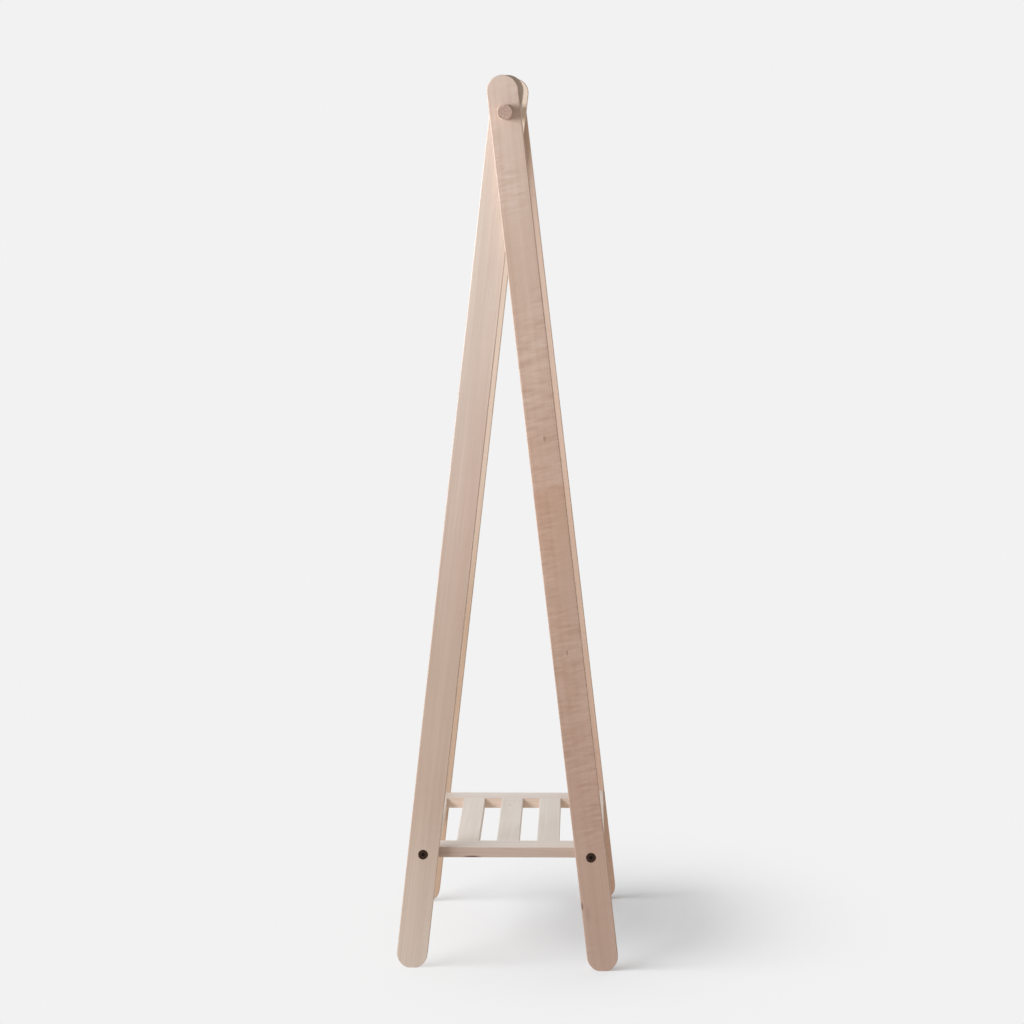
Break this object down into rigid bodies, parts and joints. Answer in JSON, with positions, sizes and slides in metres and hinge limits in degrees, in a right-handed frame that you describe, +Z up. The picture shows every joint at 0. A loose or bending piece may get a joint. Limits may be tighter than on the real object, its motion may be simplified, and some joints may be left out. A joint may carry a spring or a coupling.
{
  "type": "clothes rack",
  "caption": "A-frame wooden clothes rack: round-ended flat legs crossing in pairs, a through hanging rail near the top and a slatted shoe shelf near the floor.",
  "frame": {"origin": "on the floor, under the middle of the rack", "axes": "+X across the spread of the legs towards the outer legs' feet, +Y along the hanging rail, +Z up"},
  "size_m": [0.3742, 0.58, 1.5],
  "materials": {
    "leg_wood": "fine sanded, clear matt",
    "rail_wood": "fine sanded, clear matt",
    "shelf_wood": "fine sanded, clear matt",
    "pin_wood": "fluted, unfinished",
    "bolt_metal": "dark bronze, satin",
    "nut_metal": "zinc plated"
  },
  "bodies": {
    "stand": {"leg_right_near": "leg_wood", "leg_left_near": "leg_wood", "leg_left_far": "leg_wood", "leg_right_far": "leg_wood", "side_rail_right": "shelf_wood", "side_rail_left": "shelf_wood", "cross_rail_near": "shelf_wood", "cross_rail_far": "shelf_wood", "slat_left": "shelf_wood", "slat_middle": "shelf_wood", "slat_right": "shelf_wood", "barrel_nut_right_near": "nut_metal", "barrel_nut_left_near": "nut_metal", "barrel_nut_left_far": "nut_metal", "barrel_nut_right_far": "nut_metal", "joint_pins_right_near": "pin_wood", "joint_pins_left_near": "pin_wood", "joint_pins_left_far": "pin_wood", "joint_pins_right_far": "pin_wood"},
    "rail": {"hanging_rail": "rail_wood"},
    "bolt_right_near_body": {"bolt_right_near": "bolt_metal"},
    "bolt_left_near_body": {"bolt_left_near": "bolt_metal"},
    "bolt_left_far_body": {"bolt_left_far": "bolt_metal"},
    "bolt_right_far_body": {"bolt_right_far": "bolt_metal"}
  },
  "joints": [
    {"name": "rail_turn", "type": "hinge", "parent": "stand", "child": "rail", "pos_m": [0, 0, 1.439], "axis": [0, 1, 0], "continuous": true},
    {"name": "bolt_draw_right_near", "type": "slide", "parent": "stand", "child": "bolt_right_near_body", "axis": [0, -1, 0], "range_m": [0, 0.05]},
    {"name": "bolt_draw_left_near", "type": "slide", "parent": "stand", "child": "bolt_left_near_body", "axis": [0, -1, 0], "range_m": [0, 0.05]},
    {"name": "bolt_draw_left_far", "type": "slide", "parent": "stand", "child": "bolt_left_far_body", "axis": [0, 1, 0], "range_m": [0, 0.05]},
    {"name": "bolt_draw_right_far", "type": "slide", "parent": "stand", "child": "bolt_right_far_body", "axis": [0, 1, 0], "range_m": [0, 0.05]}
  ]
}
